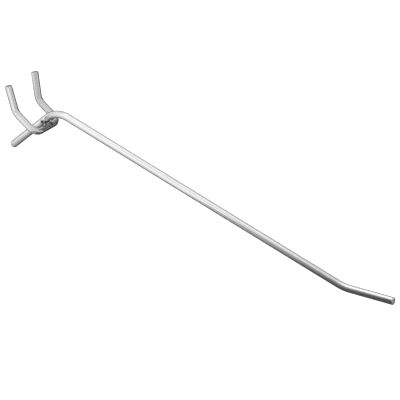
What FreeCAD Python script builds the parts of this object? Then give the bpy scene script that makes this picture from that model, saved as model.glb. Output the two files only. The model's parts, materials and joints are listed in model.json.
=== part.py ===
import FreeCAD, Part
import Sketcher
import math
import os
from collections import namedtuple

# Wire pegboard hook: two bent steel wires, welded where they cross.
# The arm wire rises away from the board to an upturned tip, and its back end turns down as a stem
# that lies flat on the board. The staple is a U whose crown crosses the front of the stem; its two
# legs pass the stem, go through two neighbouring board holes and turn up behind the board as prongs.
# Frame, in mm: +Z up, the board's front face is y = 0, the arm reaches towards -Y,
# x = 0 is midway between the prongs, and z = 0 is where the legs' centre lines meet the board.

# Driving sizes, in mm and degrees
SIZES = (
    ("arm_wire", "5.0", "diameter of the arm wire"),
    ("stem_length", "37.5", "straight run of the stem, down from its bend"),
    ("back_bend_radius", "16.5", "centre line radius of the bend from stem to arm"),
    ("arm_rise", "30", "slope of the arm above level"),
    ("arm_length", "216.2", "straight run of the arm between its two bends"),
    ("tip_bend_radius", "32", "centre line radius of the bend before the tip"),
    ("tip_turn", "17", "how much steeper the tip is than the arm"),
    ("tip_length", "31.8", "straight run of the tip"),
    ("tip_round", "0.4", "rounding of the tip's cut end"),
    ("stem_round", "1.2", "rounding of the stem's cut end, which bears on the board"),
    ("staple_wire", "4.8", "diameter of the staple wire"),
    ("prong_spacing", "25.4", "distance between the legs, one board hole pitch"),
    ("crown_drop", "5.0", "height of the back bend's start above the crown"),
    ("leg_bend_radius", "5.5", "centre line radius of the two bends of the U"),
    ("leg_droop", "12", "slope of the legs, down towards the board"),
    ("leg_length", "9.8", "straight run of a leg"),
    ("prong_bend_radius", "9", "centre line radius of the bend from leg to prong"),
    ("prong_turn", "41.7", "angle from leg to prong"),
    ("prong_roll", "9", "outward lean of the plane that each prong is bent in"),
    ("prong_length", "15.3", "straight run of a prong"),
    ("prong_round", "0.4", "rounding of a prong's cut end"),
    ("set_down", "0.45", "how far the weld pressed the two wires into each other"),
    ("weld_radius", "2.3", "radius of the collar of metal pressed out round the weld"),
)

doc = FreeCAD.newDocument("pegboard_hook")
sheet = doc.addObject("Spreadsheet::Sheet", "Sizes")
for row, (alias, number, meaning) in enumerate(SIZES, start=1):
    sheet.set(f"A{row}", alias)
    sheet.set(f"B{row}", number)
    sheet.set(f"C{row}", meaning)
    sheet.setAlias(f"B{row}", alias)
doc.recompute()

# Places that several sketches share, as expressions of the sizes
STEM_Y = "(-Sizes.arm_wire / 2)"
CROWN_Y = "(-(Sizes.arm_wire + Sizes.staple_wire / 2 - Sizes.set_down))"
CROWN_Z = f"(-{CROWN_Y} * tan(Sizes.leg_droop))"
STEM_END_Z = f"({CROWN_Z} + Sizes.crown_drop - Sizes.stem_length)"
LEG_REACH = "(Sizes.leg_bend_radius + Sizes.leg_length)"
LEG_END_X = "(Sizes.prong_spacing / 2)"
LEG_END_Y = f"({CROWN_Y} + {LEG_REACH} * cos(Sizes.leg_droop))"
LEG_END_Z = f"({CROWN_Z} - {LEG_REACH} * sin(Sizes.leg_droop))"
WELD_Y = "(-Sizes.arm_wire + Sizes.set_down / 2)"

Straight = namedtuple("Straight", "length")
Bend = namedtuple("Bend", "radius turn side")
LEFT = 1
RIGHT = -1


def value(expression):
    """The present number of an expression of the sizes."""
    return float(sheet.evalExpression(expression))


def new_body(label):
    body = doc.addObject("PartDesign::Body", label.title().replace("_", ""))
    body.Label = label
    return body


def new_sketch(body, name, plane_role, offset):
    """A sketch on one of the body's origin planes, moved and turned by a bound offset."""
    plane = next(item for item in body.Origin.OriginFeatures if item.Role == plane_role)
    sketch = body.newObject("Sketcher::SketchObject", name)
    sketch.AttachmentSupport = (plane, "")
    sketch.MapMode = "FlatFace"
    sketch.setExpression("AttachmentOffset", offset)
    return sketch


def placed(across, up, out, yaw="0", roll="0"):
    """An offset expression in a plane's own axes: a place, then turns about its normal and its X axis."""
    return f"placement(vector({across}; {up}; {out}); rotation({yaw}; 0; {roll}))"


def bind(sketch, constraint, expression):
    index = sketch.addConstraint(constraint)
    sketch.setExpression(f"Constraints[{index}]", expression)


def draw_path(sketch, runs):
    """Chain straight runs and tangent bends from the sketch's origin along its X axis."""
    point = FreeCAD.Vector(0, 0, 0)
    heading = 0.0
    last = None
    for run in runs:
        forward = FreeCAD.Vector(math.cos(heading), math.sin(heading), 0)
        first, final = 1, 2
        if isinstance(run, Straight):
            length = value(run.length)
            after = point + forward * length
            index = sketch.addGeometry(Part.LineSegment(point, after))
            bind(sketch, Sketcher.Constraint("Distance", index, length), run.length)
        else:
            radius = value(run.radius)
            turn = math.radians(value(run.turn))
            left = FreeCAD.Vector(-forward.y, forward.x, 0)
            centre = point + left * (run.side * radius)
            begin = heading - run.side * math.pi / 2
            heading += run.side * turn
            low, high = sorted((begin, begin + run.side * turn))
            circle = Part.Circle(centre, FreeCAD.Vector(0, 0, 1), radius)
            index = sketch.addGeometry(Part.ArcOfCircle(circle, low, high))
            after = centre + FreeCAD.Vector(math.cos(begin + run.side * turn),
                                            math.sin(begin + run.side * turn), 0) * radius
            if run.side == RIGHT:
                first, final = 2, 1
            bind(sketch, Sketcher.Constraint("Radius", index, radius), run.radius)
            bind(sketch, Sketcher.Constraint("Angle", index, turn), run.turn)
        if last is None:
            sketch.addConstraint(Sketcher.Constraint("Coincident", index, first, -1, 1))
            if isinstance(run, Straight):
                sketch.addConstraint(Sketcher.Constraint("Horizontal", index))
            else:
                sketch.addConstraint(Sketcher.Constraint("PointOnObject", index, 3, -2))
        else:
            sketch.addConstraint(Sketcher.Constraint("Tangent", *last, index, first))
        last = (index, final)
        point = after


def draw_section(sketch, diameter):
    """The wire's round section, about the sketch's origin."""
    radius = value(diameter) / 2
    index = sketch.addGeometry(Part.Circle(FreeCAD.Vector(0, 0, 0), FreeCAD.Vector(0, 0, 1), radius))
    sketch.addConstraint(Sketcher.Constraint("Coincident", index, 3, -1, 1))
    bind(sketch, Sketcher.Constraint("Diameter", index, radius * 2), diameter)


def sweep_wire(body, name, path, section):
    pipe = body.newObject("PartDesign::AdditivePipe", name)
    pipe.Profile = section
    pipe.Spine = (path, [f"Edge{n}" for n in range(1, path.GeometryCount + 1)])
    doc.recompute()
    return pipe


def end_rims(shape):
    """Names of the round edges of a wire's flat cut ends, the lowest end first."""
    ends = [face for face in shape.Faces if isinstance(face.Surface, Part.Plane)]
    ends.sort(key=lambda face: face.CenterOfMass.z)
    return [f"Edge{number}"
            for end in ends
            for number, edge in enumerate(shape.Edges, start=1)
            if edge.isSame(end.Edges[0])]


def round_ends(body, name, base, rims, radius):
    rounding = body.newObject("PartDesign::Fillet", name)
    rounding.Base = (base, rims)
    rounding.setExpression("Radius", radius)
    doc.recompute()
    return rounding


# Arm wire: stem, back bend, arm, tip bend and tip, all in the plane x = 0
arm = new_body("hook_arm")
arm_path = new_sketch(arm, "ArmPath", "YZ_Plane", placed(STEM_Y, STEM_END_Z, "0", yaw="90"))
draw_path(arm_path, (
    Straight("Sizes.stem_length"),
    Bend("Sizes.back_bend_radius", "90 - Sizes.arm_rise", LEFT),
    Straight("Sizes.arm_length"),
    Bend("Sizes.tip_bend_radius", "Sizes.tip_turn", RIGHT),
    Straight("Sizes.tip_length"),
))
arm_section = new_sketch(arm, "ArmSection", "XY_Plane", placed("0", STEM_Y, STEM_END_Z))
draw_section(arm_section, "Sizes.arm_wire")
arm_wire = sweep_wire(arm, "ArmWire", arm_path, arm_section)
tip_rim = end_rims(arm_wire.Shape)[-1]
tip_end = round_ends(arm, "TipEnd", arm_wire, [tip_rim], "Sizes.tip_round")
stem_rim = end_rims(tip_end.Shape)[0]
round_ends(arm, "StemEnd", tip_end, [stem_rim], "Sizes.stem_round")

# Staple, right half: half the crown, one bend of the U and a leg in the drooping plane of the U,
# then the bend and the prong in a plane that leans outwards about the leg
staple = new_body("prong_staple")
crown_path = new_sketch(staple, "CrownPath", "XY_Plane",
                        placed("0", CROWN_Y, CROWN_Z, roll="-Sizes.leg_droop"))
draw_path(crown_path, (
    Straight("Sizes.prong_spacing / 2 - Sizes.leg_bend_radius"),
    Bend("Sizes.leg_bend_radius", "90", LEFT),
    Straight("Sizes.leg_length"),
))
crown_section = new_sketch(staple, "CrownSection", "YZ_Plane", placed(CROWN_Y, CROWN_Z, "0"))
draw_section(crown_section, "Sizes.staple_wire")
crown = sweep_wire(staple, "Crown", crown_path, crown_section)

prong_path = new_sketch(staple, "ProngPath", "YZ_Plane",
                        placed(LEG_END_Y, LEG_END_Z, LEG_END_X,
                               yaw="-Sizes.leg_droop", roll="Sizes.prong_roll"))
draw_path(prong_path, (
    Bend("Sizes.prong_bend_radius", "Sizes.prong_turn", LEFT),
    Straight("Sizes.prong_length"),
))
prong_section = new_sketch(staple, "ProngSection", "XZ_Plane",
                           placed(LEG_END_X, LEG_END_Z, f"-{LEG_END_Y}", roll="-Sizes.leg_droop"))
draw_section(prong_section, "Sizes.staple_wire")
prong = sweep_wire(staple, "Prong", prong_path, prong_section)

# The left half mirrors the right one, and both prongs get a rounded cut end
both_halves = staple.newObject("PartDesign::Mirrored", "BothHalves")
both_halves.Originals = [crown, prong]
both_halves.MirrorPlane = (next(item for item in staple.Origin.OriginFeatures
                                if item.Role == "YZ_Plane"), [""])
staple.Tip = both_halves
doc.recompute()
prong_rims = end_rims(both_halves.Shape)
prong_ends = round_ends(staple, "ProngEnds", both_halves, prong_rims, "Sizes.prong_round")

# The stem's round seat, pressed into the back of the crown
seat_circle = new_sketch(staple, "SeatCircle", "XY_Plane", placed("0", STEM_Y, "0"))
draw_section(seat_circle, "Sizes.arm_wire")
seat = staple.newObject("PartDesign::Pocket", "WeldSeat")
seat.Profile = seat_circle
seat.Type = "ThroughAll"
seat.Midplane = True
doc.recompute()

# Weld collar: a ball of metal about the crossing, less the two wires
ball = doc.addObject("Part::Sphere", "WeldBall")
ball.setExpression("Radius", "Sizes.weld_radius")
ball.setExpression("Placement.Base.y", WELD_Y)
ball.setExpression("Placement.Base.z", CROWN_Z)
beside_arm = doc.addObject("Part::Cut", "BesideArm")
beside_arm.Base = ball
beside_arm.Tool = arm
collar = doc.addObject("Part::Cut", "WeldCollar")
collar.Label = "weld_collar"
collar.Base = beside_arm
collar.Tool = staple
doc.recompute()

# Every feature has to be sound before a file is written
for item in doc.Objects:
    if "Invalid" in item.State or "Error" in item.State:
        raise RuntimeError(f"{item.Name} failed: {item.State}")
if seat.Shape.Volume >= prong_ends.Shape.Volume:
    raise RuntimeError("the stem's seat cuts nothing from the crown")

os.makedirs("parts", exist_ok=True)
sub_parts = (arm, staple, collar)
for piece in sub_parts:
    if piece.Shape.isNull() or not piece.Shape.isValid() or len(piece.Shape.Solids) != 1:
        raise RuntimeError(f"{piece.Label} is not one sound solid")
for piece in sub_parts:
    piece.Shape.exportStep(f"parts/{piece.Label}.step")
    print(f"{piece.Label}: {piece.Shape.Volume:.1f} mm3")
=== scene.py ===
import json
import math

import bpy
from mathutils import Matrix, Vector, noise


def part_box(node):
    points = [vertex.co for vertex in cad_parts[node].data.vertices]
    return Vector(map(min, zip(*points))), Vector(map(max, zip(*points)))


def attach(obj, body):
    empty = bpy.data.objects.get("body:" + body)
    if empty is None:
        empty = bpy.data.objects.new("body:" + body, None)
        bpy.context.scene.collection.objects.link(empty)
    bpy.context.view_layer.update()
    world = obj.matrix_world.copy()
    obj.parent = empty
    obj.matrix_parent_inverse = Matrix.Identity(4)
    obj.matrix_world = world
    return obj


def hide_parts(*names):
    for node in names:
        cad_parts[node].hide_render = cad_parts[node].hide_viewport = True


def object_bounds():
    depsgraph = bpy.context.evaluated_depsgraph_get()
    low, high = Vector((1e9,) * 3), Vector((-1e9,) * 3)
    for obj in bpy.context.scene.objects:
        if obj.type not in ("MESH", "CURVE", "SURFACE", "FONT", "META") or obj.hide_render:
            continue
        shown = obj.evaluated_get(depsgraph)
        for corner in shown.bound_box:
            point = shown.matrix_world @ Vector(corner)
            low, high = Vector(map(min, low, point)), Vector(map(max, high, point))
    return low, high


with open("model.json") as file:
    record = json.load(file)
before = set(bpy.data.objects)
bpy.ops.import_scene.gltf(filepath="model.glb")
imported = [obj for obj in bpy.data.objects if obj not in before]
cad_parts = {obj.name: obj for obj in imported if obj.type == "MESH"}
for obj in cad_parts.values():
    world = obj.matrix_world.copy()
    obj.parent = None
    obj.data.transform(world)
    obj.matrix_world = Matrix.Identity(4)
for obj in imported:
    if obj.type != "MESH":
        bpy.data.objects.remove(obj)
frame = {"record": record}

cad_low, cad_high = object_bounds()

# Arm wire
# One length of drawn steel wire, cut square, bent cold before the tip and above the stem, and bright
# zinc plated with the rest of the hook after welding. Its stem lies along the board.
MM = 0.001
mounts = {mount["name"]: mount for mount in frame["record"]["mounts"]}
arm_radius = mounts["arm_tip"]["dims"]["r_mm"] * MM
stem_length = 37.5 * MM
back_bend_radius = 16.5 * MM
arm_rise = math.radians(30)
arm_length = 216.2 * MM
tip_bend_radius = 32 * MM
tip_turn = math.radians(17)
tip_length = 31.8 * MM
tip_round = 0.4 * MM
stem_round = 1.2 * MM
stem_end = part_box("hook_arm")[0].z

RING_STEP = 0.8 * MM
BEND_STEP = math.radians(2)
WIRE_SIDES = 48
ROUND_STEPS = 5
FACE_RINGS = (0.8, 0.6, 0.4, 0.2)
FACE_DIP = 0.02 * MM
TORN_DEPTH = 0.09 * MM
TORN_ROUGH = 0.03 * MM
TORN_SCALE = 1400


class BentWire:
    """The centre line of a wire, followed run by run as a bender forms it."""

    def __init__(self, place, ahead, side):
        self.stations = []
        self.along = 0.0
        self.add(Vector(place), Vector(ahead).normalized(), Vector(side).normalized(), 0.0)

    def add(self, place, ahead, side, bent):
        self.stations.append({"place": place, "ahead": ahead, "side": side,
                              "along": self.along, "bent": bent})

    def straight(self, length):
        first = self.stations[-1]
        steps = max(2, round(length / RING_STEP))
        start = self.along
        for step in range(1, steps + 1):
            done = length * step / steps
            self.along = start + done
            self.add(first["place"] + first["ahead"] * done, first["ahead"], first["side"], 0.0)

    def bend(self, radius, turn, towards):
        first = self.stations[-1]
        towards = Vector(towards)
        towards = (towards - first["ahead"] * towards.dot(first["ahead"])).normalized()
        centre = first["place"] + towards * radius
        axis = first["ahead"].cross(towards)
        steps = max(4, round(turn / BEND_STEP))
        start = self.along
        for step in range(1, steps + 1):
            part = step / steps
            rolled = Matrix.Rotation(turn * part, 3, axis)
            self.along = start + radius * turn * part
            self.add(centre - rolled @ (towards * radius), rolled @ first["ahead"], rolled @ first["side"],
                     math.sin(math.pi * part))


def ring(station, radius, forward=0.0):
    """One turn of points round the wire, each with its place on the straight wire before bending."""
    around = station["ahead"].cross(station["side"])
    points = []
    for index in range(WIRE_SIDES):
        angle = math.tau * index / WIRE_SIDES
        out = station["side"] * math.cos(angle) + around * math.sin(angle)
        place = station["place"] + out * radius + station["ahead"] * forward
        drawn = (radius * math.cos(angle), radius * math.sin(angle), station["along"] + forward)
        points.append((place, drawn, station["bent"]))
    return points


def cut_end(station, radius, rounding, outward):
    """The rings of a cut end, a rounded rim and a face left uneven by the shear, and the face's middle."""
    rings = []
    for step in range(1, ROUND_STEPS + 1):
        turn = math.pi / 2 * step / ROUND_STEPS
        rim_radius = radius - rounding * (1 - math.cos(turn))
        rings.append(ring(station, rim_radius, outward * rounding * math.sin(turn)))
    face_radius = radius - rounding
    for share in FACE_RINGS:
        flat = ring(station, face_radius * share, outward * rounding)
        rings.append([(place + station["ahead"] * outward * shear_relief(drawn, share), drawn, bent)
                      for place, drawn, bent in flat])
    middle = station["place"] + station["ahead"] * outward * (rounding - FACE_DIP)
    return rings, (middle, (0.0, 0.0, station["along"] + outward * rounding), 0.0)


def shear_relief(drawn, share):
    """Depth of the torn half of a sheared face: shallow, and nothing at the rim."""
    torn = max(0.0, drawn[0]) / arm_radius
    rough = noise.noise(Vector(drawn) * TORN_SCALE)
    return (TORN_ROUGH * rough - TORN_DEPTH * torn) * (1 - share)


def wire_object(name, wire, radius, first_round, last_round):
    """A closed skin round a bent wire, with its drawn-wire coordinates kept for the finish."""
    stations = [dict(station) for station in wire.stations]
    stations[0]["place"] = stations[0]["place"] + stations[0]["ahead"] * first_round
    stations[0]["along"] += first_round
    stations[-1]["place"] = stations[-1]["place"] - stations[-1]["ahead"] * last_round
    stations[-1]["along"] -= last_round
    head, head_middle = cut_end(stations[0], radius, first_round, -1)
    tail, tail_middle = cut_end(stations[-1], radius, last_round, 1)
    rings = head[::-1] + [ring(station, radius) for station in stations] + tail
    points = [point for one in rings for point in one] + [head_middle, tail_middle]
    faces = []
    for row in range(len(rings) - 1):
        for index in range(WIRE_SIDES):
            after = (index + 1) % WIRE_SIDES
            low, high = row * WIRE_SIDES, (row + 1) * WIRE_SIDES
            faces.append((low + index, low + after, high + after, high + index))
    last = (len(rings) - 1) * WIRE_SIDES
    for index in range(WIRE_SIDES):
        after = (index + 1) % WIRE_SIDES
        faces.append((after, index, len(points) - 2))
        faces.append((last + index, last + after, len(points) - 1))
    mesh = bpy.data.meshes.new(name)
    mesh.from_pydata([place for place, drawn, bent in points], [], faces)
    mesh.polygons.foreach_set("use_smooth", [True] * len(mesh.polygons))
    drawn_places = mesh.attributes.new("drawn", "FLOAT_VECTOR", "POINT")
    drawn_places.data.foreach_set("vector", [number for place, drawn, bent in points for number in drawn])
    bends = mesh.attributes.new("bent", "FLOAT", "POINT")
    bends.data.foreach_set("value", [bent for place, drawn, bent in points])
    mesh.update()
    piece = bpy.data.objects.new(name, mesh)
    bpy.context.scene.collection.objects.link(piece)
    return piece


UP = Vector((0, 0, 1))
FRONT = Vector((0, -1, 0))
arm_path = BentWire((0, -arm_radius, stem_end), UP, FRONT)
arm_path.straight(stem_length)
arm_path.bend(back_bend_radius, math.pi / 2 - arm_rise, FRONT)
arm_path.straight(arm_length)
arm_path.bend(tip_bend_radius, tip_turn, UP)
arm_path.straight(tip_length)
arm_piece = wire_object("arm_wire", arm_path, arm_radius, stem_round, tip_round)


def add_node(tree, kind, values=None, feeds=None, **settings):
    """A shader node with its settings, its socket values and the outputs that feed its sockets."""
    node = tree.nodes.new(kind)
    for setting, value in settings.items():
        setattr(node, setting, value)
    for socket, value in (values or {}).items():
        node.inputs[socket].default_value = value
    for socket, source in (feeds or {}).items():
        tree.links.new(source, node.inputs[socket])
    return node


def noise_over(tree, place, scale, detail):
    """A cloudy pattern laid over the places given."""
    pattern = add_node(tree, "ShaderNodeTexNoise", {"Scale": scale, "Detail": detail}, {"Vector": place})
    return pattern.outputs["Fac"]


RIM_TINT = (0.0, 0.0, 0.0, 1)
LENGTHWISE_PULL = (1, 1, 0.015)
DIE_LINE_SCALE = 1500
CLOUD_SCALE = 240
GRAIN_SCALE = 4200
DIE_LINE_SHARE = 0.45
DULL_PLATING = 0.93
CREVICE_SHADE_TONE = (0.055, 0.053, 0.05, 1)
CREVICE_SHADE_DEPTH = 0.55
PLATING_ROUGHNESS = (0.13, 0.21)
BEND_ROUGHER = 0.05
CREVICE_SHADE_ROUGHER = 0.3
DIE_LINE_DEPTH = 0.04 * MM
GRAIN_DEPTH = 0.02 * MM


def plated_wire(name, tone, seed, shade_span=None):
    """Bright zinc plate over drawn wire: die lines, cloudy plating, duller bends, and painted shade in the
    crevice at the weld.

    The last argument gives where along the wire a painted shade starts and ends to darken the tone, and the
    tone's share at its end."""
    finish = bpy.data.materials.new(name)
    finish.use_nodes = True
    tree = finish.node_tree
    shader = tree.nodes["Principled BSDF"]
    shader.inputs["Metallic"].default_value = 1.0
    shader.inputs["Specular Tint"].default_value = RIM_TINT
    drawn = add_node(tree, "ShaderNodeAttribute", attribute_name="drawn").outputs["Vector"]
    bent = add_node(tree, "ShaderNodeAttribute", attribute_name="bent").outputs["Fac"]
    crevice_shade = add_node(tree, "ShaderNodeAttribute", attribute_name="crevice_shade").outputs["Fac"]

    pulled = add_node(tree, "ShaderNodeVectorMath", {1: LENGTHWISE_PULL, 2: (seed, seed, seed)}, {0: drawn},
                      operation="MULTIPLY_ADD").outputs["Vector"]
    die_lines = noise_over(tree, pulled, DIE_LINE_SCALE, 4)
    clouds = noise_over(tree, drawn, CLOUD_SCALE, 4)
    grains = noise_over(tree, drawn, GRAIN_SCALE, 2)

    mottle = add_node(tree, "ShaderNodeMix", {0: DIE_LINE_SHARE}, {2: clouds, 3: die_lines}).outputs[0]
    plating = add_node(tree, "ShaderNodeValToRGB", feeds={"Fac": mottle})
    plating.color_ramp.elements[0].position = 0.34
    plating.color_ramp.elements[0].color = [share * DULL_PLATING for share in tone] + [1]
    plating.color_ramp.elements[1].position = 0.62
    plating.color_ramp.elements[1].color = [*tone, 1]
    plate_tone = plating.outputs["Color"]
    # Painted shade: the tone darkens smoothly along the wire, from full at the start to the given share at
    # the end.
    if shade_span:
        start, end, share = shade_span
        along = add_node(tree, "ShaderNodeSeparateXYZ", feeds={0: drawn}).outputs["Z"]
        shade_share = add_node(tree, "ShaderNodeMapRange", {1: start, 2: end, 3: 1.0, 4: share}, {0: along},
                           interpolation_type="SMOOTHSTEP").outputs[0]
        plate_tone = add_node(tree, "ShaderNodeVectorMath", feeds={0: plate_tone, "Scale": shade_share},
                              operation="SCALE").outputs["Vector"]
    # Painted shade: near the other wire the colour is darkened towards a dark grey, and the surface is made
    # rougher there.
    painted_shade = add_node(tree, "ShaderNodeMath", {2: CREVICE_SHADE_DEPTH}, {0: clouds, 1: crevice_shade},
                     operation="MULTIPLY_ADD")
    painted_shade = add_node(tree, "ShaderNodeMath", feeds={0: painted_shade.outputs[0], 1: crevice_shade}, operation="MULTIPLY",
                     use_clamp=True).outputs[0]
    colour = add_node(tree, "ShaderNodeMix", {7: CREVICE_SHADE_TONE}, {0: painted_shade, 6: plate_tone},
                      data_type="RGBA").outputs[2]
    tree.links.new(colour, shader.inputs["Base Color"])

    smooth, rough = PLATING_ROUGHNESS
    gloss = add_node(tree, "ShaderNodeMapRange", {1: 0.3, 2: 0.7, 3: smooth, 4: rough},
                     {0: mottle}).outputs[0]
    for rougher, where in ((BEND_ROUGHER, bent), (CREVICE_SHADE_ROUGHER, painted_shade)):
        gloss = add_node(tree, "ShaderNodeMath", {1: rougher}, {0: where, 2: gloss},
                         operation="MULTIPLY_ADD").outputs[0]
    tree.links.new(gloss, shader.inputs["Roughness"])

    lines = add_node(tree, "ShaderNodeBump", {"Strength": 0.07, "Distance": DIE_LINE_DEPTH},
                     {"Height": die_lines})
    grain = add_node(tree, "ShaderNodeBump", {"Strength": 0.03, "Distance": GRAIN_DEPTH},
                     {"Height": grains, "Normal": lines.outputs["Normal"]})
    tree.links.new(grain.outputs["Normal"], shader.inputs["Normal"])
    return finish


arm_tone = (0.74, 0.74, 0.74)
arm_piece.data.materials.append(plated_wire("bright_plated_arm", arm_tone, 0.0))
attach(arm_piece, "root")
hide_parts("hook_arm")

# Prong staple
# A shorter, slightly thinner wire bent to a U, with both legs turned up and a little outwards.
# Its crown is resistance welded across the front of the stem; the prongs hook behind the board.
staple_radius = mounts["left_prong_end"]["dims"]["r_mm"] * MM
prong_spacing = 25.4 * MM
leg_bend_radius = 5.5 * MM
leg_droop = math.radians(12)
leg_length = 9.8 * MM
prong_bend_radius = 9 * MM
prong_turn = math.radians(41.7)
prong_roll = math.radians(9)
prong_length = 15.3 * MM
prong_round = 0.4 * MM
weld_set_down = 0.45 * MM
crown_y = -(2 * arm_radius + staple_radius - weld_set_down)
crown_z = -crown_y * math.tan(leg_droop)

RIGHT = Vector((1, 0, 0))
leg_ahead = Vector((0, math.cos(leg_droop), -math.sin(leg_droop)))
leg_up = Vector((0, math.sin(leg_droop), math.cos(leg_droop)))
half = BentWire((0, crown_y, crown_z), RIGHT, leg_up)
half.straight(prong_spacing / 2 - leg_bend_radius)
half.bend(leg_bend_radius, math.pi / 2, leg_ahead)
half.straight(leg_length)
half.bend(prong_bend_radius, prong_turn, leg_up * math.cos(prong_roll) + RIGHT * math.sin(prong_roll))
half.straight(prong_length)


def mirrored(direction):
    return Vector((-direction.x, direction.y, direction.z))


def other_half(stations):
    """The left half of the staple, from its prong end to the crown."""
    return [{"place": mirrored(station["place"]), "ahead": -mirrored(station["ahead"]),
             "side": mirrored(station["side"]), "along": -station["along"], "bent": station["bent"]}
            for station in stations[:0:-1]]


half.stations = other_half(half.stations) + half.stations
staple_piece = wire_object("staple_wire", half, staple_radius, prong_round, prong_round)
staple_tone = (0.77, 0.77, 0.77)
# Painted shade: the staple's +X half is darker than its -X half.
staple_painted_shade = (-22 * MM, 22 * MM, 0.86)
staple_finish = plated_wire("bright_plated_staple", staple_tone, 0.37, staple_painted_shade)
staple_piece.data.materials.append(staple_finish)
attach(staple_piece, "root")
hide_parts("prong_staple")

# Weld
# The metal that the weld squeezed out of the crossing, a lumpy collar with two flashes in the crevice
# between the stem and the crown. It is plated over with the wires, which are painted darker beside it as
# shade.
weld_reach = 2.18 * MM
weld_bulge = 0.22 * MM
weld_sink = 0.06 * MM
weld_core = 0.5 * MM
lump_turns = 2.1
lump_across = 0.8
weld_unevenness = 0.09
bulge_unevenness = 0.5
flash_spread = math.radians(24)
flashes = ((math.radians(61), 0.92), (math.radians(150), 0.95))
flash_top = 0.85 * staple_radius
flash_side = 0.9 * arm_radius
WELD_TURNS = 72
WELD_STEPS = 7


def stem_front(across):
    return -arm_radius - math.sqrt(arm_radius ** 2 - across ** 2)


def crown_back(above):
    return crown_y + math.sqrt(staple_radius ** 2 - above ** 2)


def weld_point(turn, across):
    """A point of the collar's outside: across 0 lies on the stem, 1 on the crown."""
    lump_x, lump_z = math.cos(turn) * lump_turns, math.sin(turn) * lump_turns
    lump = noise.noise(Vector((lump_x, lump_z, across * lump_across)))
    flash = sum(share * math.exp(-((turn - place) / flash_spread) ** 2) for place, share in flashes)
    reach = weld_reach * (1 + weld_unevenness * lump + flash)
    rim_x, rim_z = reach * math.cos(turn), reach * math.sin(turn)
    beside = max(0.0, abs(rim_x) - flash_side)
    near_stem = stem_front(min(abs(rim_x), flash_side)) + weld_sink - beside
    near_crown = crown_back(min(rim_z, flash_top)) - weld_sink
    out = reach + weld_bulge * math.sin(math.pi * across) * (1 + bulge_unevenness * lump)
    between = near_stem + (near_crown - near_stem) * across
    return Vector((out * math.cos(turn), between, crown_z + out * math.sin(turn)))


weld_points = []
weld_faces = []
for row in range(WELD_TURNS):
    turn = math.tau * row / WELD_TURNS
    section = [weld_point(turn, step / (WELD_STEPS - 1)) for step in range(WELD_STEPS)]
    core_y = -2 * arm_radius + weld_set_down / 2
    section.append(Vector((weld_core * math.cos(turn), core_y, crown_z + weld_core * math.sin(turn))))
    weld_points += section
    size = len(section)
    for step in range(size):
        this, after = row * size, (row + 1) % WELD_TURNS * size
        nearer = (step + 1) % size
        weld_faces.append((this + step, after + step, after + nearer, this + nearer))
weld_mesh = bpy.data.meshes.new("weld_collar_bead")
weld_mesh.from_pydata(weld_points, [], weld_faces)
weld_mesh.polygons.foreach_set("use_smooth", [True] * len(weld_mesh.polygons))
weld_piece = bpy.data.objects.new("weld_bead", weld_mesh)
bpy.context.scene.collection.objects.link(weld_piece)

weld_dull_tone = (0.54, 0.538, 0.535, 1)
weld_bright_tone = (0.74, 0.738, 0.735, 1)
weld_lump_scale = 1500
weld_lump_depth = 0.08 * MM
weld_finish = bpy.data.materials.new("plated_weld")
weld_finish.use_nodes = True
weld_tree = weld_finish.node_tree
weld_shader = weld_tree.nodes["Principled BSDF"]
weld_shader.inputs["Metallic"].default_value = 1.0
weld_place = add_node(weld_tree, "ShaderNodeTexCoord").outputs["Object"]
weld_lumps = noise_over(weld_tree, weld_place, weld_lump_scale, 4)
weld_tone = add_node(weld_tree, "ShaderNodeValToRGB", feeds={"Fac": weld_lumps})
weld_tone.color_ramp.elements[0].position = 0.38
weld_tone.color_ramp.elements[0].color = weld_dull_tone
weld_tone.color_ramp.elements[1].position = 0.68
weld_tone.color_ramp.elements[1].color = weld_bright_tone
weld_tree.links.new(weld_tone.outputs["Color"], weld_shader.inputs["Base Color"])
weld_gloss = add_node(weld_tree, "ShaderNodeMapRange", {3: 0.5, 4: 0.3}, {0: weld_lumps})
weld_tree.links.new(weld_gloss.outputs[0], weld_shader.inputs["Roughness"])
weld_bump = add_node(weld_tree, "ShaderNodeBump", {"Strength": 0.25, "Distance": weld_lump_depth},
                     {"Height": weld_lumps})
weld_tree.links.new(weld_bump.outputs["Normal"], weld_shader.inputs["Normal"])
weld_piece.data.materials.append(weld_finish)
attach(weld_piece, "root")
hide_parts("weld_collar")

# Painted shade on both wires: darker in the crevice where the other wire is close, with painted shadow
# spots at a few places beside it.
stem_rise = 5 * MM
stem_crevice = 1.3 * MM
crown_crevice = 0.6 * MM
shade_spot_reach = 1.75 * MM
shade_spot_strength = 1.9
# Painted shadow spots beside the crossing, where the wires shade each other.
stem_shade_spots = [Vector((-2.5, -2.8, 2.8)) * MM, Vector((-2.45, -4.7, 4.8)) * MM,
                 Vector((-0.4, -4.95, 5.6)) * MM]
crown_shade_spots = [Vector((2.3, -5.4, 3.3)) * MM, Vector((3.1, -6.7, 3.85)) * MM]


def eased(share):
    share = min(1.0, max(0.0, share))
    return share * share * (3 - 2 * share)


def paint_crevice_shade(wire_piece, gap, reach, shade_spots):
    """Painted shade: darker where the other wire is close, and at the painted shadow spots beside it."""
    painted_shade = []
    for point in wire_piece.data.vertices:
        marks = [1 - gap(point.co) / reach]
        for spot in shade_spots:
            marks.append(shade_spot_strength * (1 - (point.co - spot).length / shade_spot_reach))
        painted_shade.append(eased(max(marks)))
    shade_values = wire_piece.data.attributes.new("crevice_shade", "FLOAT", "POINT")
    shade_values.data.foreach_set("value", painted_shade)


def gap_to_crown(point):
    beside = max(0.0, abs(point.x) - prong_spacing / 2)
    return math.hypot(point.y - crown_y, point.z - crown_z, beside) - staple_radius


def gap_to_stem(point):
    above = max(0.0, point.z - (crown_z + stem_rise))
    return math.hypot(point.x, point.y + arm_radius, above) - arm_radius


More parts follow.
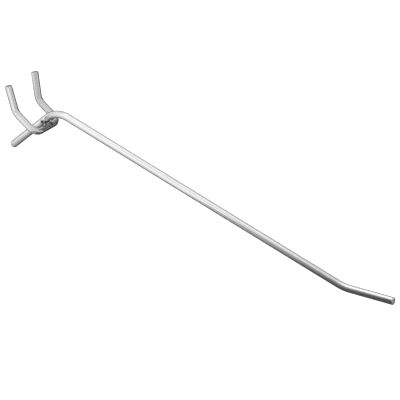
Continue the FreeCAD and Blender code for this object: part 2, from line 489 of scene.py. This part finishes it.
paint_crevice_shade(arm_piece, gap_to_crown, stem_crevice, stem_shade_spots)
paint_crevice_shade(staple_piece, gap_to_stem, crown_crevice, crown_shade_spots)

# Floor
# A white table top under the hook, white to the camera and in the metal, which keeps the hook's
# faint shadow. It stands for no part of the hook.
floor_drop = 90 * MM
floor_reach = 4.0
floor_z = cad_low.z - floor_drop
paper_grey = (0.75, 0.75, 0.75, 1)
shade_grey = (0.25, 0.25, 0.25, 1)
paper_glow = 0.96


def stage_card(name, corners, finish):
    """A flat card of the studio, given by its four corners."""
    card_mesh = bpy.data.meshes.new(name)
    card_mesh.from_pydata(corners, [], [(0, 1, 2, 3)])
    card_mesh.materials.append(finish)
    card = bpy.data.objects.new(name, card_mesh)
    bpy.context.scene.collection.objects.link(card)
    return card


def lying(z, x_range, y_range):
    """Corners of a card that lies level."""
    return [(x_range[0], y_range[0], z), (x_range[1], y_range[0], z),
            (x_range[1], y_range[1], z), (x_range[0], y_range[1], z)]


floor_finish = bpy.data.materials.new("white_floor")
floor_finish.use_nodes = True
floor_tree = floor_finish.node_tree
floor_tree.nodes.remove(floor_tree.nodes["Principled BSDF"])
floor_paper = add_node(floor_tree, "ShaderNodeBsdfDiffuse", {"Color": paper_grey})
floor_white = add_node(floor_tree, "ShaderNodeEmission", {"Strength": paper_glow})
floor_shade = add_node(floor_tree, "ShaderNodeBsdfDiffuse", {"Color": shade_grey})
floor_seen = add_node(floor_tree, "ShaderNodeAddShader",
                      feeds={0: floor_white.outputs[0], 1: floor_shade.outputs[0]})
ray = add_node(floor_tree, "ShaderNodeLightPath").outputs
seen = add_node(floor_tree, "ShaderNodeMath", feeds={0: ray["Is Camera Ray"], 1: ray["Is Glossy Ray"]},
                operation="ADD")
seen = add_node(floor_tree, "ShaderNodeMath", feeds={0: seen.outputs[0], 1: ray["Is Transmission Ray"]},
                operation="ADD", use_clamp=True)
floor_mix = add_node(floor_tree, "ShaderNodeMixShader",
                     feeds={0: seen.outputs[0], 1: floor_paper.outputs[0], 2: floor_seen.outputs[0]})
floor_tree.links.new(floor_mix.outputs[0], floor_tree.nodes["Material Output"].inputs["Surface"])
stage_card("floor", lying(floor_z, (-floor_reach, floor_reach), (-floor_reach, floor_reach)), floor_finish)

# Studio cards
# Grey cards outside the picture, which only the metal sees: a sheet on the table that fades from dark
# in front of the hook to white behind the board's side, and upright flags round it.


def card_finish(name, grey):
    """Plain card without gloss."""
    finish = bpy.data.materials.new(name)
    finish.use_nodes = True
    paper = finish.node_tree.nodes["Principled BSDF"]
    paper.inputs["Base Color"].default_value = (grey, grey, grey, 1)
    paper.inputs["Roughness"].default_value = 1.0
    paper.inputs["Specular IOR Level"].default_value = 0.0
    return finish


def reflected_only(card):
    card.visible_camera = False
    card.visible_shadow = False
    card.visible_diffuse = False
    return card


def upright_along_y(x, y_range, z_range):
    """Corners of a standing card that faces along X."""
    return [(x, y_range[0], z_range[0]), (x, y_range[1], z_range[0]),
            (x, y_range[1], z_range[1]), (x, y_range[0], z_range[1])]


def upright_along_x(y, x_range, z_range):
    """Corners of a standing card that faces along Y."""
    return [(x_range[0], y, z_range[0]), (x_range[1], y, z_range[0]),
            (x_range[1], y, z_range[1]), (x_range[0], y, z_range[1])]


def faded_finish(name, dark, pale, fade, slant=0.0):
    """Card printed with a fade along Y, dark in front and pale behind; a slant turns the fade."""
    finish = card_finish(name, pale)
    tree = finish.node_tree
    place = add_node(tree, "ShaderNodeNewGeometry").outputs["Position"]
    axes = add_node(tree, "ShaderNodeSeparateXYZ", feeds={0: place}).outputs
    depth = add_node(tree, "ShaderNodeMath", {1: slant}, {0: axes["X"], 2: axes["Y"]},
                     operation="MULTIPLY_ADD").outputs[0]
    grey = add_node(tree, "ShaderNodeMapRange", {1: fade[0], 2: fade[1], 3: dark, 4: pale}, {0: depth},
                    interpolation_type="SMOOTHSTEP").outputs[0]
    tree.links.new(grey, tree.nodes["Principled BSDF"].inputs["Base Color"])
    return finish


table_fade = (-0.22, 0.21)
table_slant = -0.54
sheet_z = floor_z + 1 * MM
strip_z = floor_z + 2 * MM
patch_z = floor_z + 3 * MM
sheet_reach = 2.5
sheet_edge = 0.27
shade_depth = 0.34
near_sheet = faded_finish("near_sheet", 0.133, 1.00, table_fade, table_slant)
far_sheet = faded_finish("far_sheet", 0.035, 0.27, table_fade, table_slant)
for card_name, x_range, y_range, finish in (
        ("near_sheet", (-sheet_reach, sheet_edge), (-sheet_reach, sheet_reach), near_sheet),
        ("far_sheet", (sheet_edge, sheet_reach), (-sheet_reach, shade_depth), far_sheet),
        ("back_sheet", (sheet_edge, sheet_reach), (shade_depth, sheet_reach), near_sheet)):
    reflected_only(stage_card(card_name, lying(sheet_z, x_range, y_range), finish))

# A faded flag stands close to the tip on the camera's side, so that the arm darkens towards its end.
tip_flag_edge = -0.088
tip_flag = faded_finish("tip_flag", 0.11, 0.68, (-0.205, tip_flag_edge))
tip_flag_corners = upright_along_y(-0.07, (-0.6, tip_flag_edge), (floor_z, 0.24))
reflected_only(stage_card("tip_flag", tip_flag_corners, tip_flag))

# The strip lies behind the hook as the camera sees it, so that the wires' rims reflect it.
strip_start = Vector((0.12, 0.03, strip_z))
strip_along = Vector((0.6, -0.8, 0))
strip_across = Vector((0.8, 0.6, 0))
strip_ends = (-0.06, 0.45)
strip_sides = (-0.10, 0.08)
strip_corners = [strip_start + strip_along * along + strip_across * across + UP * rise
                 for along, across, rise in lying(0.0, strip_ends, strip_sides)]
for card_name, corners, grey in (
        ("rim_strip", strip_corners, 0.021),
        ("prong_patch", lying(patch_z, (-0.08, 0.08), (0.01, 0.07)), 0.52),
        ("far_low_flag", upright_along_y(0.6, (-0.90, 0.06), (floor_z, 0.14)), 0.040),
        ("far_flag", upright_along_y(0.6, (-0.53, 0.06), (0.14, 0.77)), 0.16),
        ("far_top_flag", upright_along_y(0.6, (0.06, 0.9), (0.34, 0.77)), 0.26),
        ("prong_flag", upright_along_y(-0.5, (-0.29, -0.05), (0.20, 0.41)), 0.60),
        ("front_flag", upright_along_x(-0.9, (-1.0, 0.6), (floor_z, 0.46)), 0.08),
        ("front_side_flag", upright_along_x(-0.9, (0.6, 1.0), (floor_z, 0.34)), 0.40),
        ("back_flag", upright_along_x(0.5, (0.23, 0.9), (-0.07, 0.8)), 0.79),
        ("top_card", lying(0.75, (-1.0, 1.0), (-1.0, 1.0)), 1.0)):
    reflected_only(stage_card(card_name, corners, card_finish(card_name, grey)))

# Light
# A white room with two large soft panels, behind the hook and at its near side, and three small ones
# that light up what the arm, the stem and the near prong reflect.
world = bpy.data.worlds.new("studio")
bpy.context.scene.world = world
world.use_nodes = True
world.node_tree.nodes["Background"].inputs["Color"].default_value = (1, 1, 1, 1)


def soft_panel(name, place, facing, width, height, glow):
    """A lit panel that adds an even glow to what the metal sees there."""
    panel = bpy.data.lights.new(name, "AREA")
    panel.shape = "RECTANGLE"
    panel.size = width
    panel.size_y = height
    panel.energy = glow * math.pi * width * height
    lamp = bpy.data.objects.new(name, panel)
    lamp.location = place
    lamp.rotation_mode = "QUATERNION"
    lamp.rotation_quaternion = Vector(facing).to_track_quat("-Z", "Y")
    lamp.visible_camera = False
    bpy.context.scene.collection.objects.link(lamp)


soft_panel("back_panel", (0.08, 0.49, 0.43), (0, -1, 0), 0.77, 0.48, 0.44)
soft_panel("side_panel", (-0.79, 0.67, 0.16), (1, 0, 0), 0.82, 0.50, 0.39)
soft_panel("low_panel", (-0.27, -0.095, floor_z + 5 * MM), (0, 0, 1), 0.12, 0.09, 0.7)
soft_panel("stem_panel", (-0.09, 0.10, floor_z + 5 * MM), (0, 0, 1), 0.07, 0.07, 0.3)
soft_panel("prong_panel", (-0.437, -0.232, -0.05), (0.874, 0.465, 0.1), 0.19, 0.20, 0.28)

# Camera
# Looks down on the hook from the prongs' left, far off through a long lens, and is turned about its
# own line of sight so that the arm runs down to the right.
view_azimuth = math.radians(-86.09)
view_elevation = math.radians(40.16)
view_roll = math.radians(53.27)
view_distance = 3.5120
view_target = Vector((0.03708, -0.10143, 0.04238))
back = Vector((math.sin(view_azimuth) * math.cos(view_elevation),
               -math.cos(view_azimuth) * math.cos(view_elevation), math.sin(view_elevation)))
lens = bpy.data.cameras.new("camera")
lens.sensor_width = 36
lens.lens = 491.1
lens.clip_end = 50
camera = bpy.data.objects.new("camera", lens)
level = (-back).to_track_quat("-Z", "Y").to_matrix().to_4x4()
camera.matrix_world = (Matrix.Translation(view_target + back * view_distance) @ level
                       @ Matrix.Rotation(view_roll, 4, "Z"))
bpy.context.scene.collection.objects.link(camera)
bpy.context.scene.camera = camera
bpy.context.scene.view_settings.view_transform = "Standard"
